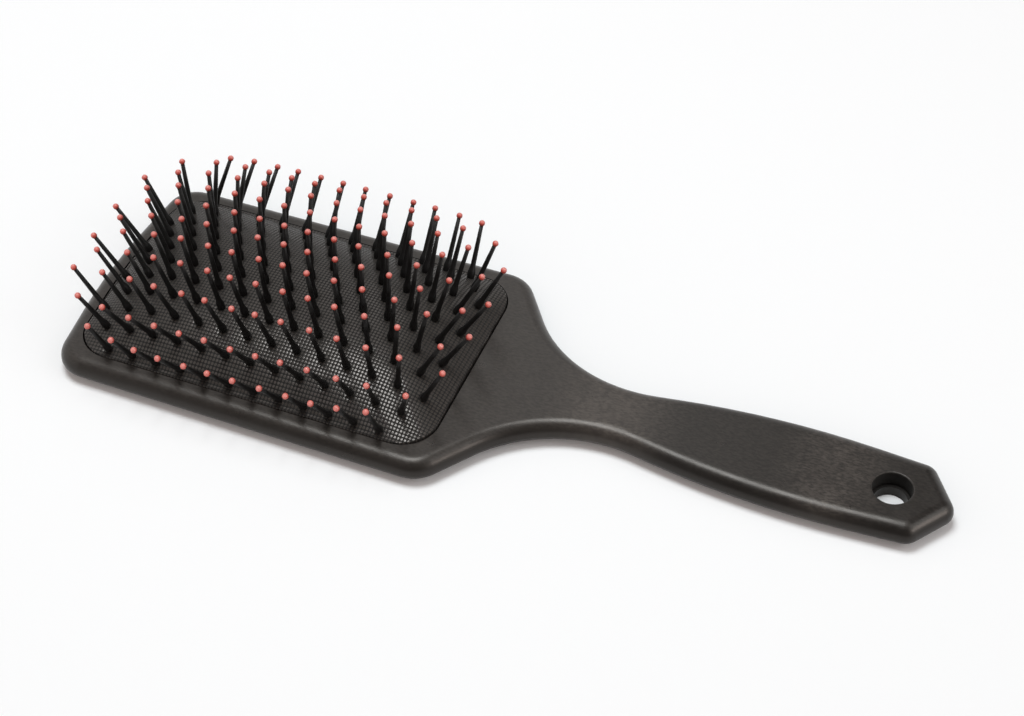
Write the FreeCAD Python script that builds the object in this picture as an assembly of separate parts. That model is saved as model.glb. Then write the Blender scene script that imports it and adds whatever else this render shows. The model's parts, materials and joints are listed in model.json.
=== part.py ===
import FreeCAD, Part
import math
import os

# Cushion paddle brush: a one-piece moulded paddle and grip, a domed rubber
# cushion seated in the paddle, and rows of ball-tipped pins through the cushion.
# Millimetres. The origin lies on the resting plane under the middle of the
# cushion, +X runs towards the grip, +Z is the side that the pins stand on.

# Paddle outline, half widths at the corners
paddle_end_x = -56.9
paddle_end_half_width = 39.1
paddle_end_bow = 3.9
paddle_end_radius = 180.0
paddle_corner_radius = 9.2
paddle_flare = 0.9
shoulder_radius = 10.0

# Rim land between the corners of the outline and the recess
end_land = 3.7
side_land = 5.1
shoulder_land = 0.6

# Grip outline, each run from the corner before it
neck_run = 24.5
neck_half_width = 6.1
neck_radius = 40.0
grip_run = 57.5
grip_half_width = 15.9
grip_radius = 233.0
butt_run = 43.7
butt_half_width = 13.1
butt_corner_radius = 4.5
butt_point_run = 9.2
butt_point_radius = 4.5

# Body section: rounded front edge, bevelled back edge
body_thickness = 8.0
top_edge_round = 4.0
back_bevel_width = 3.7
back_bevel_height = 3.0
bevel_edge_round = 1.6

# Hanging hole, stepped near the back
hole_from_point = 17.6
hole_radius = 5.3
hole_back_radius = 4.5
hole_step_depth = 4.8
hole_mouth_round = 0.5

# Cushion recess in the paddle, with an undercut that holds the cushion's flange
recess_corner_radius = 10.6
recess_end_bow = 2.0
recess_end_radius = 180.0
recess_depth = 5.8
undercut_depth = 1.3
undercut_height = 1.7
undercut_below_rim = 1.8

# Rubber cushion, its dome set out from the recess
seam_gap = 0.6
flange_clearance = 0.15
rubber_thickness = 1.5
skirt_thickness = 0.9
border_rise = 0.4
dome_height = 9.9
dome_end_overrun = 0.1
dome_side_inset = 1.4
dome_length_power = 4.3
dome_width_power = 2.5
dome_columns = 33
dome_lines = 25

# Pin field: staggered rows along the paddle, set in from the dome's border
pin_rows = 11
pins_in_long_row = 14
pins_dropped_in_edge_rows = 2
field_end_margin = 5.07
field_side_margin = 1.2
field_shift_x = -1.6

# One pin, heights measured along its axis from the rubber's outer face
pin_reach = 16.4
pin_seat_clearance = 0.12
head_radius = 1.2
head_thickness = 0.6
shank_radius = 0.75
hole_clearance = 0.12
foot_radius = 1.15
foot_height = 2.2
foot_cone_height = 1.1
shaft_radius_low = 0.76
shaft_radius_high = 0.56
tip_radius = 0.9
tip_socket_depth = 0.7

# Places that follow from the sizes above
recess_half_length = -paddle_end_x - end_land
recess_half_width = paddle_end_half_width - side_land
shoulder_x = recess_half_length + shoulder_land
shoulder_half_width = paddle_end_half_width + paddle_flare
neck_x = shoulder_x + neck_run
grip_x = neck_x + grip_run
butt_x = grip_x + butt_run
butt_point_x = butt_x + butt_point_run
hole_x = butt_point_x - hole_from_point
dome_half_length = recess_half_length + dome_end_overrun
dome_half_width = recess_half_width - dome_side_inset
pin_pitch = 2 * (dome_half_length - field_end_margin) / (pins_in_long_row - 1)
row_pitch = 2 * (dome_half_width - field_side_margin) / (pin_rows - 1)

UP = FreeCAD.Vector(0, 0, 1)


def rounded_wire(corners, radii, z):
    """Closed wire of straight runs and tangent arcs through rounded corners."""
    points = [FreeCAD.Vector(x, y, z) for x, y in corners]
    count = len(points)
    arcs = []
    for i in range(count):
        here = points[i]
        back = (points[i - 1] - here).normalize()
        ahead = (points[(i + 1) % count] - here).normalize()
        half = back.getAngle(ahead) / 2
        reach = radii[i] / math.tan(half)
        bisector = (back + ahead).normalize()
        middle = here + bisector * (radii[i] / math.sin(half) - radii[i])
        arcs.append((here + back * reach, middle, here + ahead * reach))
    edges = []
    for i in range(count):
        start, middle, stop = arcs[i]
        edges.append(Part.Arc(start, middle, stop).toShape())
        following = arcs[(i + 1) % count][0]
        if stop.distanceToPoint(following) > 1e-6:
            edges.append(Part.LineSegment(stop, following).toShape())
    return Part.Wire(edges)


def prism(wire, height):
    return Part.Face(wire).extrude(UP * height)


def body_wire(z):
    """Outline of the paddle and grip, mirrored about the X axis."""
    side = [
        (paddle_end_x, paddle_end_half_width, paddle_corner_radius),
        (shoulder_x, shoulder_half_width, shoulder_radius),
        (neck_x, neck_half_width, neck_radius),
        (grip_x, grip_half_width, grip_radius),
        (butt_x, butt_half_width, butt_corner_radius),
    ]
    far = [(paddle_end_x - paddle_end_bow, 0.0, paddle_end_radius)]
    point = [(butt_point_x, 0.0, butt_point_radius)]
    front = [(x, -y, r) for x, y, r in side]
    ring = far + front + point + side[::-1]
    return rounded_wire([(x, y) for x, y, _ in ring], [r for _, _, r in ring], z)


def recess_wire(inset, z):
    """Outline of the recess, moved inwards by an inset."""
    length = recess_half_length - inset
    width = recess_half_width - inset
    corner = recess_corner_radius - inset
    corners = [
        (-length - recess_end_bow, 0.0),
        (-length, -width),
        (length, -width),
        (length, width),
        (-length, width),
    ]
    radii = [recess_end_radius, corner, corner, corner, corner]
    return rounded_wire(corners, radii, z)


rim_z = body_thickness
floor_z = rim_z - recess_depth
undercut_top_z = rim_z - undercut_below_rim
undercut_base_z = undercut_top_z - undercut_height


def edges_at_height(shape, z):
    return [e for e in shape.Edges if abs(e.BoundBox.ZMin - z) + abs(e.BoundBox.ZMax - z) < 1e-6]


def handle_body():
    """Moulded paddle and grip with its recess, undercut and stepped hole."""
    blank = prism(body_wire(0.0), body_thickness)
    smallest_corner = min(butt_corner_radius, butt_point_radius)
    top_round = min(top_edge_round, 0.9 * smallest_corner, 0.52 * body_thickness)
    bevel_width = min(back_bevel_width, 0.95 * smallest_corner)
    bevel_height = min(back_bevel_height, 0.45 * body_thickness)
    wall = body_thickness - top_round - bevel_height
    turn = math.atan2(bevel_width, bevel_height)
    bevel_round = min(bevel_edge_round, 0.85 * wall / math.tan(turn / 2))
    blank = blank.makeChamfer(bevel_height, bevel_width, edges_at_height(blank, 0.0))
    blank = blank.makeFillet(bevel_round, edges_at_height(blank, bevel_height))
    blank = blank.makeFillet(top_round, edges_at_height(blank, body_thickness))
    recess = prism(recess_wire(0.0, floor_z), recess_depth + 1.0)
    undercut = prism(recess_wire(-undercut_depth, undercut_base_z), undercut_height)
    centre = FreeCAD.Vector(hole_x, 0, 0)
    through = Part.makeCylinder(hole_back_radius, body_thickness, centre)
    step = Part.makeCylinder(
        hole_radius, hole_step_depth, centre + UP * (body_thickness - hole_step_depth)
    )
    body = blank.cut([recess, undercut, through, step])
    mouth = [
        e
        for e in edges_at_height(body, body_thickness)
        if isinstance(e.Curve, Part.Circle) and abs(e.Curve.Radius - hole_radius) < 1e-6
        and abs(e.Curve.Center.x - hole_x) < 1e-6
    ]
    return body.makeFillet(hole_mouth_round, mouth)


def dome_point(x, y):
    """Outer face of the cushion above a point of the paddle."""
    along = abs(x / dome_half_length) ** dome_length_power
    across = abs(y / dome_half_width) ** dome_width_power
    z = rim_z + border_rise + dome_height * (1 - along) * (1 - across)
    return FreeCAD.Vector(x, y, z)


def dome_normal(x, y):
    """Outward normal of the cushion's outer face."""
    u = x / dome_half_length
    w = y / dome_half_width
    along = abs(u) ** dome_length_power
    across = abs(w) ** dome_width_power
    slope_u = dome_length_power * abs(u) ** (dome_length_power - 1) / dome_half_length
    slope_w = dome_width_power * abs(w) ** (dome_width_power - 1) / dome_half_width
    lean_x = math.copysign(dome_height * slope_u * (1 - across), u)
    lean_y = math.copysign(dome_height * slope_w * (1 - along), w)
    return FreeCAD.Vector(lean_x, lean_y, 1).normalize()


def dome_block(depth_below):
    """Block under the dome face, sunk along the face's normals by a depth."""
    grid = []
    for i in range(dome_columns):
        x = recess_half_length * 1.08 * (2 * i / (dome_columns - 1) - 1)
        line = []
        for j in range(dome_lines):
            y = recess_half_width * 1.08 * (2 * j / (dome_lines - 1) - 1)
            line.append(dome_point(x, y) - dome_normal(x, y) * depth_below)
        grid.append(line)
    face = Part.BSplineSurface()
    face.interpolate(grid)
    return face.toShape().extrude(UP * -(dome_height + 4 * body_thickness))


def pin_field():
    """Rows of (base, axis) pairs, staggered by half a pitch."""
    rows = []
    for j in range(pin_rows):
        long_row = j % 2 == 0
        count = pins_in_long_row if long_row else pins_in_long_row - 1
        if j in (0, pin_rows - 1):
            count -= pins_dropped_in_edge_rows
        y = (j - (pin_rows - 1) / 2) * row_pitch
        row = []
        for k in range(count):
            x = field_shift_x + (k - (count - 1) / 2) * pin_pitch
            row.append((dome_point(x, y), dome_normal(x, y)))
        rows.append(row)
    return rows


def cushion(rows):
    """Rubber diaphragm: dome, skirt, flange in the undercut, a hole per pin."""
    skirt_base_z = undercut_base_z + flange_clearance
    height = rim_z + border_rise + dome_height + 1.0 - skirt_base_z
    outer = prism(recess_wire(seam_gap, skirt_base_z), height)
    outer = outer.common(dome_block(0.0))
    cavity = prism(recess_wire(seam_gap + skirt_thickness, skirt_base_z - 1.0), height + 1.0)
    cavity = cavity.common(dome_block(rubber_thickness))
    flange = prism(
        recess_wire(flange_clearance - undercut_depth, skirt_base_z),
        undercut_height - 2 * flange_clearance,
    )
    shell = outer.fuse(flange).cut(cavity)
    holes = []
    for row in rows:
        for base, axis in row:
            start = base - axis * (2 * rubber_thickness)
            holes.append(
                Part.makeCylinder(shank_radius + hole_clearance, 3 * rubber_thickness, start, axis)
            )
    return shell.cut(holes).removeSplitter()


def turned(profile):
    """Solid of revolution about Z from (radius, height) points."""
    points = [FreeCAD.Vector(r, 0, z) for r, z in profile]
    face = Part.Face(Part.makePolygon(points + points[:1]))
    return face.revolve(FreeCAD.Vector(0, 0, 0), UP, 360)


socket_z = pin_reach - tip_radius
stub_top_z = socket_z + tip_socket_depth


def pin():
    """Nylon pin: inner head, shank in the rubber, foot, cone and tapered shaft."""
    head_top = -rubber_thickness - pin_seat_clearance
    return turned([
        (0, head_top - head_thickness),
        (head_radius, head_top - head_thickness),
        (head_radius, head_top),
        (shank_radius, head_top),
        (shank_radius, pin_seat_clearance),
        (foot_radius, pin_seat_clearance),
        (foot_radius, foot_height),
        (shaft_radius_low, foot_height + foot_cone_height),
        (shaft_radius_high, socket_z),
        (shaft_radius_high, stub_top_z),
        (0, stub_top_z),
    ])


def ball_tip():
    """Ball moulded on the end of a pin, with the socket that the pin fills."""
    ball = Part.makeSphere(tip_radius, UP * pin_reach)
    socket = Part.makeCylinder(
        shaft_radius_high, stub_top_z - socket_z + tip_radius, UP * (socket_z - tip_radius)
    )
    return ball.cut(socket)


def stood(shape, base, axis):
    """Copy of a shape with its own Z axis along a pin's axis."""
    copy = shape.copy()
    copy.Placement = FreeCAD.Placement(base, FreeCAD.Rotation(UP, axis))
    return copy


def main():
    os.makedirs("parts", exist_ok=True)
    rows = pin_field()
    nodes = {"handle_body": handle_body(), "cushion": cushion(rows)}
    one_pin = pin()
    one_tip = ball_tip()
    for number, row in enumerate(rows, start=1):
        nodes[f"pins_row_{number:02d}"] = Part.Compound([stood(one_pin, b, a) for b, a in row])
        nodes[f"tips_row_{number:02d}"] = Part.Compound([stood(one_tip, b, a) for b, a in row])
    for name, shape in nodes.items():
        shape.exportStep(f"parts/{name}.step")
        print(name, len(shape.Solids), "solids", round(shape.Volume, 1), "mm3", shape.isValid())


main()
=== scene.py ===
import json
import math
import random

import bmesh
import bpy
from bpy.props import FloatProperty, FloatVectorProperty, IntProperty, PointerProperty
from mathutils import Matrix, Vector, kdtree, noise


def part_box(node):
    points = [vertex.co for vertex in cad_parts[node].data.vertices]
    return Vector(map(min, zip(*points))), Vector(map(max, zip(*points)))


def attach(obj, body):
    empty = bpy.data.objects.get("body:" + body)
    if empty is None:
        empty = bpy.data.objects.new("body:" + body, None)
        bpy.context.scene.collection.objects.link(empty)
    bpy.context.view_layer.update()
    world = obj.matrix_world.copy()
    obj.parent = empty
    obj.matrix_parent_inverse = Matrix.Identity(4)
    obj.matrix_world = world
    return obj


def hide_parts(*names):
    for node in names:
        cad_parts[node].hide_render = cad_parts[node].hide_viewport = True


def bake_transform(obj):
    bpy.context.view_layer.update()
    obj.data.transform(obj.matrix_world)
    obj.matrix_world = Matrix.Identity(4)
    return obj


bl_info = {
    "name": "Cushion Paddle Brush",
    "version": (1, 0, 0),
    "blender": (4, 5, 0),
    "location": "View3D > Sidebar > Paddle Brush",
    "description": "Dresses a paddle brush: moulded handle, grained rubber cushion, ball-tipped pins",
    "category": "Object",
}

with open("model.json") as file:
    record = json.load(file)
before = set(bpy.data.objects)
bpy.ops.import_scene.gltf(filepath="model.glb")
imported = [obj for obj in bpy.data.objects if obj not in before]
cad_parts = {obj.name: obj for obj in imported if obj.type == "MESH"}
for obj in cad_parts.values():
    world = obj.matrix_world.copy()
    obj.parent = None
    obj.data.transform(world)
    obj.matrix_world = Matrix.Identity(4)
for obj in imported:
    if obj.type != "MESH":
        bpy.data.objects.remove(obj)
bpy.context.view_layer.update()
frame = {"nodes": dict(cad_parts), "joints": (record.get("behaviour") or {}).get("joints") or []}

# Places of the solids, in metres like every length here
RIM_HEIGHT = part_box("handle_body")[1].z
HOLE_PLACE = (0.1711, 0, 0)
HOLE_RADIUS = 0.0053
HOLE_EDGE = 0.0003
HOLE_STEP = (0.0031, 0.0034)
SWAY_LINES = {
    joint["child"]: Vector(joint["pos_m"]) for joint in frame["joints"] if joint["type"] == "hinge"
}

# Fineness of the shapes
CELLS_PER_DOT = 3
END_STEPS = 4
CORNER_STEPS = 10
BALL_RINGS = 7
CORNER_LIMIT = 0.01
CUT_LIMIT = 1e-7
WELD_LIMIT = 1e-6

# Dimple and bare ring round a pin, as shares of its foot's radius
DIMPLE_REACH = 1.30
BARE_REACH = 1.35

# Rolled border: each ring's step out and down as shares of the roll, and its share of the wave
ROLL_STEPS = ((0.55, 0.15, 0), (0.35, 0.40, 1), (0.10, 0.60, 0))
WAVES_PER_METRE = 260
GRIP_END_WAVE = 2

# Pin: widths of the foot's toe, heel and brow as shares of its radius, and its eased lengths
FOOT_WIDTHS = (0.80, 0.97, 0.88)
FOOT_STRAIGHT = 0.80
FOOT_SUNK = 0.00030
HEEL_RISE = 0.00015
BROW_RISE = 0.00020
CONE_EASE = 0.00030
SOCKET_SHARE = 0.45

# Where use has bent the pins: the second row, a patch among the near rows, and the back rows
PIN_SEED = 11
SECOND_REACH = 0.004
NEAR_PATCH = Vector((-0.006, -0.013))
NEAR_REACH = Vector((0.030, 0.016))
BACK_REACH = 0.0066
BACK_SHARE = 0.25
BACK_FADE = 0.25
BACK_CORNER = -0.045
BACK_CORNER_REACH = 0.024

# Handle's finish: zones along and up the handle, and the share of the paler tone in each; the paler
# tone is painted sheen, and the flanks take painted shade
GRIP_START = (0.100, 0.114)
FACE_START = (0.0056, 0.0078)
NECK, NECK_REACH, NECK_SHEEN = 0.094, 0.022, 0.56
PALM, PALM_REACH, PALM_SHEEN = 0.155, 0.018, 0.40
PLATE_SHEEN, GRIP_SHEEN, FLANK_SHADE = 0.34, 0.18, 0.45
PLATE_STREAKS, GRIP_STREAKS = 0.8, 1.2
STREAK_TURN = math.radians(-35)
DARK_PLASTIC, PALE_PLASTIC = 0.05, 2.6
# Painted shade in the hole's bore, and the bore's roughness
BORE_SHADE, BORE_ROUGH = 0.03, 0.55

# Rubber's dots: their edge as shares of the pitch, the roughness of a dot and of a valley, and the
# valleys' painted shade
DOT_EDGE = (0.20, 0.46)
DOT_ROUGH, VALLEY_ROUGH = 0.11, 0.80
VALLEY_SHADE = 0.03

# Ball tips: shares of the height over which painted shade on the underside turns to the coat, and the
# coat to a painted highlight on the crown
UNDERSIDE_SHADE_RISE, CROWN_HIGHLIGHT_RISE = (0.15, 0.62), (0.62, 0.95)

# Part of a noise's range that is spread out to the whole of another range
SOFT = (0.30, 0.70)
CRISP = (0.36, 0.64)

# Stage
FLOOR_SIDE = 12
GLOW_REACH, GLOW_SHARE = (0.40, 1.60), (0.05, 1.0)
FILL_SIDES, FILL_LEVELS = (-0.5, 0.4), (0.62, 0.15)
WHITE = (1.0, 1.0, 1.0)
FILL_TINT = (1.0, 0.88, 0.84)
CARD_TINT = (1.0, 0.95, 0.92)
LAMP_TINT = (0.935, 1.0, 1.025)


# Sizes and finishes that a user may change


def length(name, description, default):
    return FloatProperty(
        name=name, description=description, default=default, precision=5, unit="LENGTH"
    )


def angle(name, description, degrees):
    return FloatProperty(
        name=name, description=description, default=math.radians(degrees), subtype="ANGLE"
    )


def whole(name, description, default):
    return IntProperty(name=name, description=description, default=default)


def colour(name, description, default):
    return FloatVectorProperty(
        name=name, description=description, default=default, size=3, min=0, max=1, subtype="COLOR"
    )


class CushionSizes(bpy.types.PropertyGroup):
    """Sizes of the domed rubber cushion"""

    border_rise: length("Border rise", "Height of the cushion's border above the rim", 0.0004)
    dome_height: length("Dome height", "Height of the dome above its border", 0.0099)
    dome_half_length: length("Dome half length", "Half of the dome's length", 0.0533)
    dome_half_width: length("Dome half width", "Half of the dome's width", 0.0326)
    length_power: FloatProperty(
        name="Length power", description="Squareness of the dome along the brush", default=4.3
    )
    width_power: FloatProperty(
        name="Width power", description="Squareness of the dome across the brush", default=2.5
    )
    seam_half_length: length("Seam half length", "Half length inside the seam", 0.05290)
    seam_half_width: length("Seam half width", "Half width inside the seam", 0.03370)
    seam_shift: length("Seam shift", "How far the rubber sits towards the front", 0.00012)
    seam_corner: length("Seam corner", "Corner radius of the seam", 0.01030)
    seam_end_bow: length("End bow", "How far the far end bows out", 0.0020)
    seam_end_radius: length("End radius", "Radius of the far end's bow", 0.180)
    grip_end_gap: length("Grip end gap", "Extra width of the seam at the grip's end", 0.00012)
    far_end_gap: length("Far end gap", "Extra width of the seam at the far end", 0.00028)
    seam_wave: length("Seam wave", "Unevenness of the trimmed rubber border", 0.00007)
    border_roll: length("Border roll", "Radius of the rolled border", 0.00035)
    skirt_depth: length("Skirt depth", "Depth of the skirt below the rim", 0.0030)
    grain_pitch: length("Grain pitch", "Spacing of the raised dots", 0.0010)
    grain_height: length("Grain height", "Height of the raised dots", 0.00012)
    dimple_depth: length("Dimple depth", "Depth that a pin draws the rubber in by", 0.00020)


class PinSizes(bpy.types.PropertyGroup):
    """Sizes of the pin field, of one pin and of its ball tip, and how far use has bent the pins"""

    long_row: whole("Pins in a long row", "Pins in a long row", 14)
    dropped: whole("Dropped at the edges", "Pins fewer in the two edge rows", 2)
    pitch: length("Pin pitch", "Spacing of the pins along a row", 0.00742)
    reach: length("Reach", "Height of the ball's middle above the rubber", 0.0164)
    foot_radius: length("Foot radius", "Radius of the foot on the rubber", 0.00115)
    foot_height: length("Foot height", "Height of the foot", 0.0022)
    cone_height: length("Cone height", "Height of the cone above the foot", 0.0011)
    shaft_low: length("Shaft radius, low", "Radius of the shaft above the cone", 0.00076)
    shaft_high: length("Shaft radius, high", "Radius of the shaft under the ball", 0.00056)
    ball_radius: length("Ball radius", "Radius of the ball tip", 0.00090)
    sides: whole("Sides", "Sides of a pin and of a ball", 10)
    lean_along: angle("Lean along", "Spread of the lean along a row", 1.5)
    lean_across: angle("Lean across", "Spread of the lean across the rows", 0.8)
    worn_across: angle("Worn across", "How far use has splayed the second row outwards", 5.5)
    worn_along: angle("Worn along", "How far use has laid the near rows towards the far end", 4.0)
    worn_back: angle("Worn back", "How far use has laid the back rows towards the grip", 16.5)
    worn_last: angle("Worn last", "How far use has laid each row's last pin towards the grip", 6.0)


class Finishes(bpy.types.PropertyGroup):
    """Colours of the finishes"""

    plastic: colour("Body plastic", "Moulded handle", (0.0220, 0.0185, 0.0160))
    rubber: colour("Cushion rubber", "Rubber cushion", (0.0500, 0.0430, 0.0380))
    nylon: colour("Pin nylon", "Pins", (0.0072, 0.0064, 0.0060))
    tip: colour("Ball tip", "Ball tips", (0.56, 0.076, 0.050))
    tip_pink: colour("Ball tip, pinker", "Ball tips that are less orange", (0.56, 0.092, 0.073))
    # Colour of the painted highlight on the balls' crowns
    tip_crown_highlight: colour("Ball crown", "Crown of the ball tips", (0.73, 0.245, 0.210))
    floor: colour("Floor", "Floor of the stage", (0.960, 0.960, 0.960))


# Shapes shared by the pieces


def falling(distance, reach):
    """One at no distance, dying away like a bell over a reach"""
    return math.exp(-((distance / reach) ** 2))


def dome_point(cushion, x, y):
    """Outer face of the cushion above a point of the paddle"""
    along = min(1, abs(x / cushion.dome_half_length) ** cushion.length_power)
    across = min(1, abs(y / cushion.dome_half_width) ** cushion.width_power)
    rise = cushion.dome_height * (1 - along) * (1 - across)
    return Vector((x, y, RIM_HEIGHT + cushion.border_rise + rise))


def dome_normal(cushion, x, y):
    """Outward normal of the cushion's outer face"""
    u, w = x / cushion.dome_half_length, y / cushion.dome_half_width
    along, across = abs(u) ** cushion.length_power, abs(w) ** cushion.width_power
    steep_u = cushion.length_power * abs(u) ** (cushion.length_power - 1)
    steep_w = cushion.width_power * abs(w) ** (cushion.width_power - 1)
    lean_x = cushion.dome_height * steep_u / cushion.dome_half_length * (1 - across)
    lean_y = cushion.dome_height * steep_w / cushion.dome_half_width * (1 - along)
    return Vector((math.copysign(lean_x, u), math.copysign(lean_y, w), 1)).normalized()


def seam_tangents(cushion, inset):
    """Points and outward normals round the cushion's border, moved inwards by an inset"""
    long, wide = cushion.seam_half_length - inset, cushion.seam_half_width - inset
    grip_end, far_end = long - cushion.grip_end_gap, cushion.far_end_gap - long
    front, back = -wide - cushion.seam_shift, wide - cushion.seam_shift
    bow = Vector((far_end - cushion.seam_end_bow, 0))
    corners = [(bow, cushion.seam_end_radius, END_STEPS)]
    for place in ((far_end, front), (grip_end, front), (grip_end, back), (far_end, back)):
        corners.append((Vector(place), cushion.seam_corner - inset, CORNER_STEPS))
    tangents = []
    for index, (here, radius, steps) in enumerate(corners):
        into = (here - corners[index - 1][0]).normalized()
        out = (corners[(index + 1) % len(corners)][0] - here).normalized()
        turn = math.atan2(into.cross(out), into.dot(out))
        start = here - into * radius * math.tan(turn / 2)
        centre = start + Vector((-into.y, into.x)) * radius
        for step in range(steps + 1):
            outward = Matrix.Rotation(turn * step / steps, 2) @ Vector((into.y, -into.x))
            tangents.append(((centre + outward * radius).to_3d(), outward.to_3d()))
    return tangents


def new_object(name, bm, material):
    """Object at the origin from a finished bmesh, with its material"""
    mesh = bpy.data.meshes.new(name)
    bm.to_mesh(mesh)
    bm.free()
    mesh.materials.append(material)
    made = bpy.data.objects.new(name, mesh)
    bpy.context.scene.collection.objects.link(made)
    return made


def new_piece(name, bm, material):
    """Smooth piece of the brush, with its finish"""
    for face in bm.faces:
        face.smooth = True
    piece = new_object(name, bm, material)
    return piece


def new_sheet(name, spread, material):
    """Flat object from a unit square that a matrix spreads and places"""
    bm = bmesh.new()
    bmesh.ops.create_grid(bm, x_segments=1, y_segments=1, size=0.5)
    bmesh.ops.transform(bm, matrix=spread, verts=bm.verts)
    return new_object(name, bm, material)


def turned(profile, sides):
    """Mesh spun about Z from (radius, height) points, with each point's share of the height"""
    bm = bmesh.new()
    verts = [bm.verts.new((radius, 0, height)) for radius, height in profile]
    edges = [bm.edges.new(pair) for pair in zip(verts, verts[1:])]
    bmesh.ops.spin(
        bm, geom=verts + edges, cent=(0, 0, 0), axis=(0, 0, 1), angle=math.tau, steps=sides,
        use_merge=True,
    )
    bmesh.ops.remove_doubles(bm, verts=bm.verts, dist=WELD_LIMIT)
    bmesh.ops.holes_fill(bm, edges=[e for e in bm.edges if e.is_boundary], sides=0)
    bmesh.ops.recalc_face_normals(bm, faces=bm.faces)
    rise = bm.verts.layers.float.new("rise")
    low, high = profile[0][1], profile[-1][1]
    for vert in bm.verts:
        vert[rise] = (vert.co.z - low) / (high - low)
    mesh = bpy.data.meshes.new("turned")
    bm.to_mesh(mesh)
    bm.free()
    return mesh


def stood_row(shape, places):
    """One bmesh with a copy of a shape at each place"""
    bm = bmesh.new()
    for place in places:
        before = len(bm.verts)
        bm.from_mesh(shape)
        bm.verts.ensure_lookup_table()
        bmesh.ops.transform(bm, matrix=place, verts=bm.verts[before:])
    bpy.data.meshes.remove(shape)
    return bm


# Field of pins


def pin_field(cushion, pins):
    """Bases of the pins on the dome, by the body that their row rides on"""
    rows = {}
    names = sorted(SWAY_LINES)
    for index, body in enumerate(names):
        count = pins.long_row - index % 2
        if body in (names[0], names[-1]):
            count -= pins.dropped
        line = SWAY_LINES[body]
        places = [line.x + (k - (count - 1) / 2) * pins.pitch for k in range(count)]
        rows[body] = [dome_point(cushion, x, line.y) for x in places]
    return rows


def near_lean(pins, base):
    """Lean that use has given a patch of the near rows"""
    apart = base.to_2d() - NEAR_PATCH
    return pins.worn_along * falling(apart.x, NEAR_REACH.x) * falling(apart.y, NEAR_REACH.y)


def back_lean(pins, base, back):
    """Lean that use has given the pins near the back row, most at the far corner"""
    share = min(BACK_SHARE, BACK_SHARE - base.x / BACK_FADE)
    share += (1 - BACK_SHARE) * falling(base.x - BACK_CORNER, BACK_CORNER_REACH)
    return pins.worn_back * falling(base.y - back, BACK_REACH) * share


def pin_places(cushion, pins):
    """Matrices that stand a pin on the dome, each with a small lean of its own"""
    chance = random.Random(PIN_SEED)
    names = sorted(SWAY_LINES)
    second, back = SWAY_LINES[names[1]].y, SWAY_LINES[names[-1]].y
    rows = {}
    for body, bases in pin_field(cushion, pins).items():
        inward = {names[0]: -1, names[-1]: 1}.get(body, 0)
        places = []
        for base in bases:
            along = chance.uniform(-pins.lean_along, pins.lean_along)
            across = chance.uniform(-pins.lean_across, pins.lean_across)
            if inward or base is not bases[0]:
                along += back_lean(pins, base, back)
            if inward:
                across = inward * abs(across)
            else:
                across += pins.worn_across * falling(base.y - second, SECOND_REACH)
                along -= near_lean(pins, base)
                along += pins.worn_last if base is bases[-1] else 0
            lean = Matrix.Rotation(across, 3, "X") @ Matrix.Rotation(along, 3, "Y")
            axis = lean @ dome_normal(cushion, base.x, base.y)
            stand = Vector((0, 0, 1)).rotation_difference(axis).to_matrix()
            places.append(Matrix.Translation(base) @ stand.to_4x4())
        rows[body] = places
    return rows


def pin_profile(pins):
    """Footed pin: toe in the rubber, heel, straight foot, brow, cone and tapered shaft"""
    toe, heel, brow = (pins.foot_radius * share for share in FOOT_WIDTHS)
    shoulder = pins.foot_height + pins.cone_height
    return [
        (toe, -FOOT_SUNK),
        (heel, HEEL_RISE),
        (pins.foot_radius, pins.foot_height * FOOT_STRAIGHT),
        (brow, pins.foot_height + BROW_RISE),
        (pins.shaft_low, shoulder + CONE_EASE),
        ((pins.shaft_low + pins.shaft_high) / 2, (shoulder + pins.reach) / 2),
        (pins.shaft_high, pins.reach - pins.ball_radius * SOCKET_SHARE),
    ]


def ball_profile(pins):
    """Half circle of the ball tip, from below"""
    turns = [math.pi * k / BALL_RINGS for k in range(BALL_RINGS + 1)]
    return [
        (pins.ball_radius * math.sin(turn), pins.reach - pins.ball_radius * math.cos(turn))
        for turn in turns
    ]


# Finishes


class NodeKit:
    """Small helper that lays out the nodes of a material or a world"""

    def __init__(self, owner):
        owner.use_nodes = True
        self.tree = owner.node_tree

    def add(self, kind, **settings):
        """Node of a kind, with its settings"""
        node = self.tree.nodes.new(kind)
        for key, value in settings.items():
            setattr(node, key, value)
        return node

    def link(self, source, target):
        self.tree.links.new(source, target)

    def ranged(self, value, low, high, to_low, to_high, smooth=False):
        """Value carried from one range to another and held at its ends"""
        node = self.add("ShaderNodeMapRange")
        if smooth:
            node.interpolation_type = "SMOOTHSTEP"
        for key, limit in (
            ("From Min", low), ("From Max", high), ("To Min", to_low), ("To Max", to_high),
        ):
            node.inputs[key].default_value = limit
        self.link(value, node.inputs["Value"])
        return node.outputs["Result"]

    def math(self, operation, first, second):
        """Result of an operation on two values, each a socket or a number"""
        node = self.add("ShaderNodeMath", operation=operation)
        for socket, value in zip(node.inputs, (first, second)):
            if isinstance(value, (int, float)):
                socket.default_value = value
            else:
                self.link(value, socket)
        return node.outputs["Value"]


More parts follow.
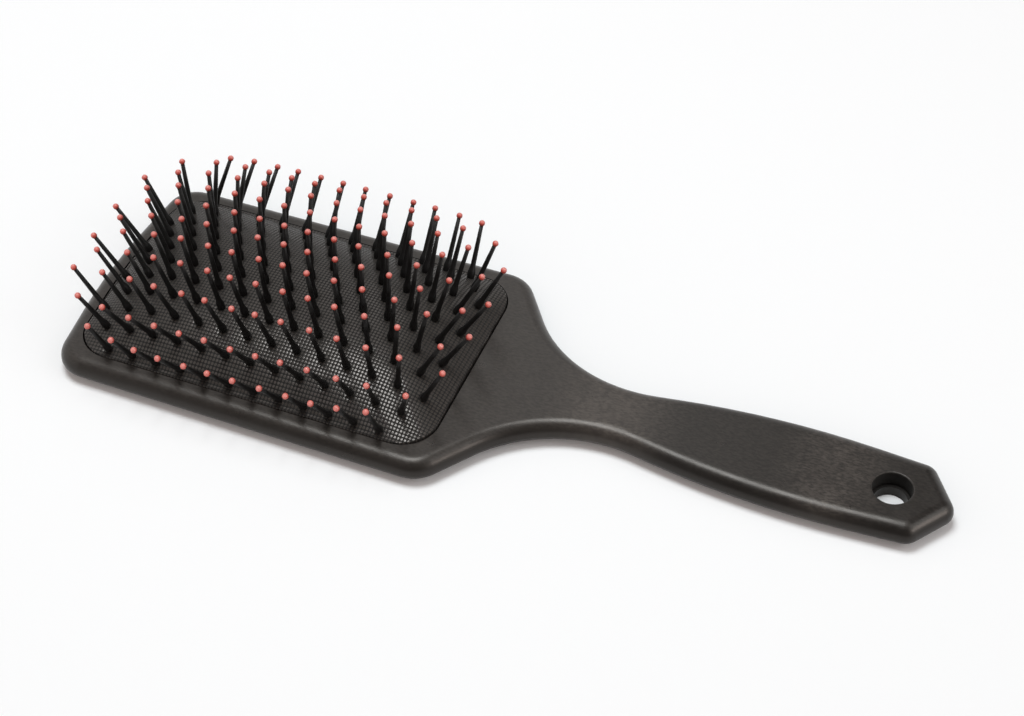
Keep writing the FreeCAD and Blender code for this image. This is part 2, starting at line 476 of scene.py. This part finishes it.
class Finish(NodeKit):
    """Helper for a finish: the usual shader, on the piece's own coordinates"""

    def __init__(self, name, specular, tint=WHITE):
        self.material = bpy.data.materials.new(name)
        super().__init__(self.material)
        self.shader = self.tree.nodes["Principled BSDF"]
        self.shader.inputs["Specular IOR Level"].default_value = specular
        self.shader.inputs["Specular Tint"].default_value = (*tint, 1)
        self.place = self.add("ShaderNodeTexCoord").outputs["Object"]

    def mapped(self, scale=(1, 1, 1), turn=0.0):
        """Coordinates stretched and turned about Z"""
        node = self.add("ShaderNodeMapping")
        node.inputs["Scale"].default_value = scale
        node.inputs["Rotation"].default_value = (0, 0, turn)
        self.link(self.place, node.inputs["Vector"])
        return node.outputs["Vector"]

    def noise(self, scale, detail=2.0, rough=0.5, vector=None):
        """Noise with so many features per metre"""
        node = self.add("ShaderNodeTexNoise")
        node.inputs["Scale"].default_value = scale
        node.inputs["Detail"].default_value = detail
        node.inputs["Roughness"].default_value = rough
        self.link(vector or self.place, node.inputs["Vector"])
        return node.outputs["Fac"]

    def band(self, value, centre, reach):
        """One at a centre, falling smoothly to nothing at a reach on both sides"""
        apart = self.math("ABSOLUTE", self.math("SUBTRACT", value, centre), 0)
        return self.ranged(apart, 0, reach, 1, 0, smooth=True)

    def apart(self, place):
        """Distance from an upright line through a place"""
        offset = self.add("ShaderNodeVectorMath", operation="SUBTRACT")
        self.link(self.place, offset.inputs[0])
        offset.inputs[1].default_value = place
        flat = self.add("ShaderNodeVectorMath", operation="MULTIPLY")
        self.link(offset.outputs["Vector"], flat.inputs[0])
        flat.inputs[1].default_value = (1, 1, 0)
        reach = self.add("ShaderNodeVectorMath", operation="LENGTH")
        self.link(flat.outputs["Vector"], reach.inputs[0])
        return reach.outputs["Value"]

    def mixed(self, share, first, second):
        """Colour that goes from a first to a second one by a share"""
        node = self.add("ShaderNodeMix", data_type="RGBA")
        self.link(share, node.inputs["Factor"])
        for name, value in (("A", first), ("B", second)):
            socket = [s for s in node.inputs if s.name == name and s.type == "RGBA"][0]
            if isinstance(value, bpy.types.NodeSocket):
                self.link(value, socket)
            else:
                socket.default_value = (*value, 1)
        return [s for s in node.outputs if s.type == "RGBA"][0]

    def bump(self, height, strength, distance, below=None):
        """Normal roughened by a height, over another normal where there is one"""
        node = self.add("ShaderNodeBump")
        node.inputs["Strength"].default_value = strength
        node.inputs["Distance"].default_value = distance
        self.link(height, node.inputs["Height"])
        if below:
            self.link(below, node.inputs["Normal"])
        return node.outputs["Normal"]

    def wire(self, colour, roughness, normal):
        """Link the finished inputs to the shader and give the material"""
        for name, value in (("Base Color", colour), ("Roughness", roughness), ("Normal", normal)):
            self.link(value, self.shader.inputs[name])
        return self.material


def shaded(colour, factor):
    """Colour made darker or paler by a factor"""
    return tuple(min(1, channel * factor) for channel in colour)


def satin_plastic(finishes):
    """Streaked black satin plastic; painted sheen on plate, neck and palm; painted shade on flanks
    and bore
    """
    kit = Finish("satin_plastic", specular=0.40, tint=(1.0, 0.92, 0.86))
    split = kit.add("ShaderNodeSeparateXYZ")
    kit.link(kit.place, split.inputs["Vector"])
    along, height = split.outputs["X"], split.outputs["Z"]
    on_grip = kit.ranged(along, *GRIP_START, 0, 1, smooth=True)
    on_face = kit.ranged(height, *FACE_START, 0, 1, smooth=True)

    mottle = kit.ranged(kit.noise(330, detail=3, rough=0.6), *CRISP, 0.65, 1.35)
    patches = kit.ranged(kit.noise(70, detail=3, rough=0.55), *SOFT, 0.55, 1.45)
    patchy = kit.math("MULTIPLY", mottle, patches)
    # Painted sheen: the plate paler than the grip, with paler patches at the neck and in the palm
    share = kit.ranged(on_grip, 0, 1, PLATE_SHEEN, GRIP_SHEEN)
    for place, reach, most in ((NECK, NECK_REACH, NECK_SHEEN), (PALM, PALM_REACH, PALM_SHEEN)):
        sheen_patch = kit.math("MULTIPLY", kit.band(along, place, reach), patchy)
        share = kit.math("ADD", share, kit.math("MULTIPLY", sheen_patch, most))
    # Painted shade: the flanks below the top face darker
    share = kit.math("MULTIPLY", share, kit.ranged(on_face, 0, 1, FLANK_SHADE, 1))

    drawn = kit.mapped((0.45, 1.0, 1.0), STREAK_TURN)
    streaks = kit.ranged(kit.noise(1650, detail=3, rough=0.6, vector=drawn), *CRISP, 0, 1)
    depth = kit.math("MULTIPLY", on_face, kit.ranged(on_grip, 0, 1, PLATE_STREAKS, GRIP_STREAKS))
    swing = kit.math("MULTIPLY", kit.math("SUBTRACT", streaks, 0.5), depth)
    share = kit.math("MULTIPLY", share, kit.math("ADD", swing, 1.0))
    pale = shaded(finishes.plastic, PALE_PLASTIC)
    tone = kit.mixed(share, shaded(finishes.plastic, DARK_PLASTIC), pale)
    rough = kit.ranged(kit.noise(140, detail=3, rough=0.6), *SOFT, 0.27, 0.35)

    # Painted shade inside the hole's bore, lighter below its step; the bore is also rougher
    bore_shade = kit.ranged(kit.apart(HOLE_PLACE), HOLE_RADIUS, HOLE_RADIUS + HOLE_EDGE, 1, 0)
    bore_shade = kit.math("MULTIPLY", bore_shade, kit.ranged(height, *HOLE_STEP, 0.35, 1))
    tone = kit.mixed(bore_shade, tone, shaded(finishes.plastic, BORE_SHADE))
    rough = kit.math("ADD", rough, kit.math("MULTIPLY", bore_shade, BORE_ROUGH))

    satin = kit.bump(kit.noise(5200), strength=0.05, distance=0.00010)
    grain = kit.bump(streaks, strength=0.05, distance=0.00008, below=satin)
    return kit.wire(tone, rough, grain)


def grained_rubber(finishes, pitch):
    """Black rubber with shiny dots, matt between them with painted shade in the valleys, and a faint
    bloom
    """
    kit = Finish("grained_rubber", specular=0.42, tint=(1.0, 0.92, 0.87))
    bloom = kit.ranged(kit.noise(95, detail=4, rough=0.65), *SOFT, 0, 1)
    tone = kit.mixed(bloom, shaded(finishes.rubber, 0.84), shaded(finishes.rubber, 1.18))
    cells = kit.add("ShaderNodeTexVoronoi", voronoi_dimensions="2D")
    cells.inputs["Scale"].default_value = 1 / pitch
    cells.inputs["Randomness"].default_value = 0
    kit.link(kit.place, cells.inputs["Vector"])
    dot = kit.ranged(cells.outputs["Distance"], *DOT_EDGE, 1, 0, smooth=True)
    # Painted shade in the valleys between the dots
    tone = kit.mixed(dot, shaded(finishes.rubber, VALLEY_SHADE), tone)
    uneven = kit.ranged(kit.noise(260, detail=3, rough=0.6), *SOFT, -0.02, 0.02)
    rough = kit.math("ADD", uneven, kit.ranged(dot, 0, 1, VALLEY_ROUGH, DOT_ROUGH))
    return kit.wire(tone, rough, kit.bump(kit.noise(7000), strength=0.06, distance=0.00006))


def black_nylon(finishes):
    """Black nylon with faint drawn streaks"""
    kit = Finish("black_nylon", specular=0.22)
    streak = kit.noise(1500, vector=kit.mapped((1.0, 1.0, 0.08)))
    share = kit.ranged(streak, *SOFT, 0, 1)
    tone = kit.mixed(share, shaded(finishes.nylon, 0.8), shaded(finishes.nylon, 1.25))
    rough = kit.ranged(kit.noise(420), *SOFT, 0.38, 0.50)
    return kit.wire(tone, rough, kit.bump(streak, strength=0.10, distance=0.00006))


def moulded_ball(finishes):
    """Dipped ball, painted shade underneath and a painted highlight on its crown; hue drifts from tip
    to tip
    """
    kit = Finish("moulded_ball", specular=0.45)
    drift = kit.ranged(kit.noise(120, detail=1), 0.35, 0.65, 0, 1)
    coat = kit.mixed(drift, finishes.tip, finishes.tip_pink)
    rise = kit.add("ShaderNodeAttribute", attribute_name="rise").outputs["Fac"]
    # Painted shade on the ball's underside
    tone = kit.mixed(kit.ranged(rise, *UNDERSIDE_SHADE_RISE, 0, 1), shaded(finishes.tip, 0.40), coat)
    # Painted highlight on the ball's crown
    tone = kit.mixed(kit.ranged(rise, *CROWN_HIGHLIGHT_RISE, 0, 1), tone, finishes.tip_crown_highlight)
    fleck = kit.noise(2600, rough=0.6)
    tone = kit.mixed(kit.ranged(fleck, 0.42, 0.75, 0, 0.35), tone, shaded(finishes.tip, 0.72))
    rough = kit.ranged(fleck, *SOFT, 0.30, 0.42)
    return kit.wire(tone, rough, kit.bump(fleck, strength=0.08, distance=0.00006))


# Pieces


class PADDLE_OT_handle(bpy.types.Operator):
    """Give the moulded paddle and grip its satin finish"""

    bl_idname = "paddle.handle"
    bl_label = "Moulded handle"

    def execute(self, context):
        body = frame["nodes"]["handle_body"]
        body.material_slots[0].material = satin_plastic(context.scene.paddle_finishes)
        return {"FINISHED"}


class PADDLE_OT_cushion(bpy.types.Operator):
    """Build the domed rubber cushion with its raised grain and rolled border"""

    bl_idname = "paddle.cushion"
    bl_label = "Rubber cushion"

    def execute(self, context):
        cushion, pins = context.scene.paddle_cushion, context.scene.paddle_pins
        cell = cushion.grain_pitch / CELLS_PER_DOT
        columns = 2 * math.ceil((cushion.seam_half_length + cushion.seam_end_bow) / cell)
        lines = 2 * math.ceil(cushion.seam_half_width / cell)
        bm = bmesh.new()
        bmesh.ops.create_grid(bm, x_segments=columns, y_segments=lines, size=1)
        widen = Matrix.Diagonal((columns * cell / 2, lines * cell / 2, 1, 1))
        bmesh.ops.transform(bm, matrix=widen, verts=bm.verts)
        border = seam_tangents(cushion, cushion.border_roll)
        self.trim(bm, border, margin=2 * cell)
        self.raise_dome(bm, cushion, pins, border, cell)
        self.roll_border(bm, cushion, border)
        bmesh.ops.recalc_face_normals(bm, faces=bm.faces)
        material = grained_rubber(context.scene.paddle_finishes, cushion.grain_pitch)
        piece = new_piece("rubber_cushion", bm, material)
        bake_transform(piece)
        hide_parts("cushion")
        return {"FINISHED"}

    def trim(self, bm, border, margin):
        """Cut the grid along the tangents of the seam, each cut only where it passes"""
        for point, outward in border:
            beyond = [v for v in bm.verts if (v.co - point).dot(outward) > -margin]
            faces = dict.fromkeys(face for vert in beyond for face in vert.link_faces)
            edges = dict.fromkeys(edge for face in faces for edge in face.edges)
            verts = dict.fromkeys(vert for face in faces for vert in face.verts)
            bmesh.ops.bisect_plane(
                bm, geom=[*verts, *edges, *faces], dist=CUT_LIMIT, plane_co=point,
                plane_no=outward, clear_outer=True,
            )

    def raise_dome(self, bm, cushion, pins, border, cell):
        """Lift the trimmed grid to the dome, with its dots and a dimple at each pin"""
        bases = [base for row in pin_field(cushion, pins).values() for base in row]
        tree = kdtree.KDTree(len(bases))
        for index, base in enumerate(bases):
            tree.insert((base.x, base.y, 0), index)
        tree.balance()
        for vert in bm.verts:
            x, y = vert.co.x, vert.co.y
            apart = tree.find((x, y, 0))[2]
            height = dome_point(cushion, x, y).z
            height -= cushion.dimple_depth * falling(apart, DIMPLE_REACH * pins.foot_radius)
            if self.on_dot(x / cell, y / cell) and apart > BARE_REACH * pins.foot_radius:
                inside = min((point - vert.co).dot(outward) for point, outward in border)
                height += cushion.grain_height * min(1, max(0, inside / cell - 0.5))
            vert.co.z = height

    def on_dot(self, column, line):
        """Whether a place, counted in cells, is a corner of the grid that carries a dot"""
        return all(
            abs(place - round(place)) < CORNER_LIMIT and round(place) % CELLS_PER_DOT == 0
            for place in (column, line)
        )

    def roll_border(self, bm, cushion, border):
        """Turn the border down into the seam as a rolled edge and a skirt"""
        ring = [edge for edge in bm.edges if edge.is_boundary]
        outward = {}
        for vert in dict.fromkeys(v for edge in ring for v in edge.verts):
            flat = Vector((vert.co.x, vert.co.y, 0))
            outward[vert] = max(border, key=lambda pair: (flat - pair[0]).dot(pair[1]))[1]
        roll = cushion.border_roll
        for out, down, waved in ROLL_STEPS:
            ring, outward = self.extend(bm, ring, outward)
            for vert, away in outward.items():
                wave = noise.noise(vert.co * WAVES_PER_METRE) * cushion.seam_wave
                wave *= 1 + GRIP_END_WAVE * max(0, away.x)
                vert.co += away * (out * roll + waved * wave)
                vert.co.z -= down * roll
        ring, outward = self.extend(bm, ring, outward)
        for vert in outward:
            vert.co.z = RIM_HEIGHT - cushion.skirt_depth
        bmesh.ops.holes_fill(bm, edges=ring, sides=0)

    def extend(self, bm, ring, outward):
        """Extrude a ring of edges in place, and hand on the outward direction of each vertex"""
        made = bmesh.ops.extrude_edge_only(bm, edges=ring)["geom"]
        ring = [e for e in made if isinstance(e, bmesh.types.BMEdge) and e.is_boundary]
        carried = {}
        for vert in (v for v in made if isinstance(v, bmesh.types.BMVert)):
            joined = [edge.other_vert(vert) for edge in vert.link_edges]
            carried[vert] = next(outward[v] for v in joined if v in outward)
        return ring, carried


class PADDLE_OT_pins(bpy.types.Operator):
    """Build the rows of footed nylon pins"""

    bl_idname = "paddle.pins"
    bl_label = "Nylon pins"

    def execute(self, context):
        pins = context.scene.paddle_pins
        material = black_nylon(context.scene.paddle_finishes)
        for body, places in pin_places(context.scene.paddle_cushion, pins).items():
            number = body.split("_")[1]
            bm = stood_row(turned(pin_profile(pins), pins.sides), places)
            piece = new_piece(f"nylon_pins_{number}", bm, material)
            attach(piece, body)
            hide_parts(f"pins_row_{number}")
        return {"FINISHED"}


class PADDLE_OT_tips(bpy.types.Operator):
    """Build the balls moulded on the ends of the pins"""

    bl_idname = "paddle.tips"
    bl_label = "Ball tips"

    def execute(self, context):
        pins = context.scene.paddle_pins
        material = moulded_ball(context.scene.paddle_finishes)
        for body, places in pin_places(context.scene.paddle_cushion, pins).items():
            number = body.split("_")[1]
            bm = stood_row(turned(ball_profile(pins), pins.sides), places)
            piece = new_piece(f"ball_tips_{number}", bm, material)
            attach(piece, body)
            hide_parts(f"tips_row_{number}")
        return {"FINISHED"}


# Stage


class StageKit(NodeKit):
    """Helper for the floor, the cards and the world, whose nodes are laid out from nothing"""

    def __init__(self, owner, output):
        super().__init__(owner)
        self.tree.nodes.clear()
        self.output = self.add(output)

    def coloured(self, kind, colour):
        """Shader node of one colour"""
        node = self.add(kind)
        node.inputs["Color"].default_value = (*colour, 1)
        return node

    def seen(self):
        """One for a ray that shows a surface, whether directly, mirrored or through glass"""
        path = self.add("ShaderNodeLightPath")
        shown = path.outputs["Is Camera Ray"]
        for name in ("Is Glossy Ray", "Is Transmission Ray"):
            shown = self.math("MAXIMUM", shown, path.outputs[name])
        return shown

    def between(self, share, first, second):
        """Shader node that goes from a first to a second one by a share"""
        node = self.add("ShaderNodeMixShader")
        for socket, source in zip(node.inputs, (share, first.outputs[0], second.outputs[0])):
            self.link(source, socket)
        return node

    def show(self, shader):
        self.link(shader.outputs[0], self.output.inputs["Surface"])


class PADDLE_OT_stage(bpy.types.Operator):
    """Set up the floor, the soft light and the camera"""

    bl_idname = "paddle.stage"
    bl_label = "Stage"

    def execute(self, context):
        scene = context.scene
        scene.view_settings.view_transform = "Standard"
        self.floor(scene)
        self.world(scene)
        self.lamps(scene)
        self.camera(scene)
        return {"FINISHED"}

    def floor(self, scene):
        """Matt where it lights the brush; where it is seen, plain white further out"""
        material = bpy.data.materials.new("pale_floor")
        kit = StageKit(material, "ShaderNodeOutputMaterial")
        matt = kit.coloured("ShaderNodeBsdfDiffuse", scene.paddle_finishes.floor)
        glow = kit.coloured("ShaderNodeEmission", WHITE)
        distance = kit.add("ShaderNodeVectorMath", operation="LENGTH")
        kit.link(kit.add("ShaderNodeTexCoord").outputs["Object"], distance.inputs[0])
        level = kit.ranged(distance.outputs["Value"], *GLOW_REACH, *GLOW_SHARE)
        kit.show(kit.between(kit.math("MULTIPLY", kit.seen(), level), matt, glow))
        floor = new_sheet("floor", Matrix.Diagonal((FLOOR_SIDE, FLOOR_SIDE, 1, 1)), material)

    def world(self, scene):
        """White where it is seen; a warm fill from the front where it lights"""
        scene.world = bpy.data.worlds.new("studio")
        kit = StageKit(scene.world, "ShaderNodeOutputWorld")
        split = kit.add("ShaderNodeSeparateXYZ")
        kit.link(kit.add("ShaderNodeTexCoord").outputs["Generated"], split.inputs["Vector"])
        level = kit.ranged(split.outputs["Y"], *FILL_SIDES, *FILL_LEVELS)
        fill = kit.coloured("ShaderNodeBackground", FILL_TINT)
        kit.link(level, fill.inputs["Strength"])
        backdrop = kit.coloured("ShaderNodeBackground", WHITE)
        kit.show(kit.between(kit.seen(), fill, backdrop))

    def lamps(self, scene):
        """Three soft lamps, and cards that shape the reflections"""
        self.softbox(
            scene, "overhead", place=(-0.13, 0.04, 1.30), aim=(-0.13, 0.04, 0), size=(0.58, 0.56),
            watts=11.25,
        )
        self.softbox(
            scene, "right_fill", place=(0.95, 0.05, 0.80), aim=(0.15, 0, 0), size=(0.60, 0.60),
            watts=2.0,
        )
        self.softbox(
            scene, "back_sheen", place=(-0.14, 0.55, 0.62), aim=(0.075, 0, 0.008),
            size=(0.20, 0.30), watts=0.12,
        )
        self.card("dark_front", towards=(0.26, -0.80, 0.54), size=(1.9, 1.35), level=0.25)
        self.card("dark_right", towards=(0.42, 0.60, 0.68), size=(0.72, 0.72), level=0.25)
        self.card("pale_right", towards=(0.90, -0.10, 0.40), size=(0.50, 0.30), level=6.0)

    def softbox(self, scene, name, place, aim, size, watts):
        """Area lamp that faces its aim"""
        data = bpy.data.lights.new(name, "AREA")
        data.shape = "RECTANGLE"
        data.size, data.size_y = size
        data.energy = watts
        data.color = LAMP_TINT
        lamp = bpy.data.objects.new(name, data)
        turn = (Vector(place) - Vector(aim)).to_track_quat("Z", "Y").to_matrix().to_4x4()
        lamp.matrix_world = Matrix.Translation(place) @ turn
        scene.collection.objects.link(lamp)

    def card(self, name, towards, size, level):
        """Card a metre away, which only mirror-like rays meet"""
        material = bpy.data.materials.new(name)
        kit = StageKit(material, "ShaderNodeOutputMaterial")
        glow = kit.coloured("ShaderNodeEmission", CARD_TINT)
        glow.inputs["Strength"].default_value = level
        kit.show(glow)
        outward = Vector(towards).normalized()
        turn = outward.to_track_quat("Z", "Y").to_matrix().to_4x4()
        spread = Matrix.Translation(outward) @ turn @ Matrix.Diagonal((*size, 1, 1))
        card = new_sheet(name, spread, material)
        card.visible_camera = card.visible_diffuse = card.visible_shadow = False

    def camera(self, scene):
        """Camera of the photo's view, with its slight roll"""
        eye = Vector((0.22314, -0.38437, 0.44577))
        aim = Vector((0.06063, 0.00981, 0.0050))
        roll = math.radians(-0.579)
        data = bpy.data.cameras.new("camera")
        data.sensor_width, data.lens = 36, 78.0
        data.clip_start, data.clip_end = 0.01, 50
        back = (eye - aim).normalized()
        right = Vector((0, 0, 1)).cross(back).normalized()
        up = back.cross(right)
        across = right * math.cos(roll) + up * math.sin(roll)
        upward = up * math.cos(roll) - right * math.sin(roll)
        turn = Matrix((across, upward, back)).transposed().to_4x4()
        camera = bpy.data.objects.new("camera", data)
        camera.matrix_world = Matrix.Translation(eye) @ turn
        scene.collection.objects.link(camera)
        scene.camera = camera


class PADDLE_PT_brush(bpy.types.Panel):
    """Steps that dress the brush"""

    bl_label = "Paddle Brush"
    bl_idname = "PADDLE_PT_brush"
    bl_space_type = "VIEW_3D"
    bl_region_type = "UI"
    bl_category = "Paddle Brush"

    def draw(self, context):
        for step in STEPS:
            self.layout.operator(step.bl_idname)


STEPS = (PADDLE_OT_stage, PADDLE_OT_handle, PADDLE_OT_cushion, PADDLE_OT_pins, PADDLE_OT_tips)
GROUPS = {
    "paddle_cushion": CushionSizes,
    "paddle_pins": PinSizes,
    "paddle_finishes": Finishes,
}


def register():
    for group in GROUPS.values():
        bpy.utils.register_class(group)
    for name, group in GROUPS.items():
        setattr(bpy.types.Scene, name, PointerProperty(type=group))
    for step in STEPS:
        bpy.utils.register_class(step)
    bpy.utils.register_class(PADDLE_PT_brush)


def unregister():
    bpy.utils.unregister_class(PADDLE_PT_brush)
    for step in reversed(STEPS):
        bpy.utils.unregister_class(step)
    for name, group in GROUPS.items():
        delattr(bpy.types.Scene, name)
        bpy.utils.unregister_class(group)


def main():
    register()
    bpy.ops.paddle.stage()
    bpy.ops.paddle.handle()
    bpy.ops.paddle.cushion()
    bpy.ops.paddle.pins()
    bpy.ops.paddle.tips()


if __name__ == "__main__":
    main()
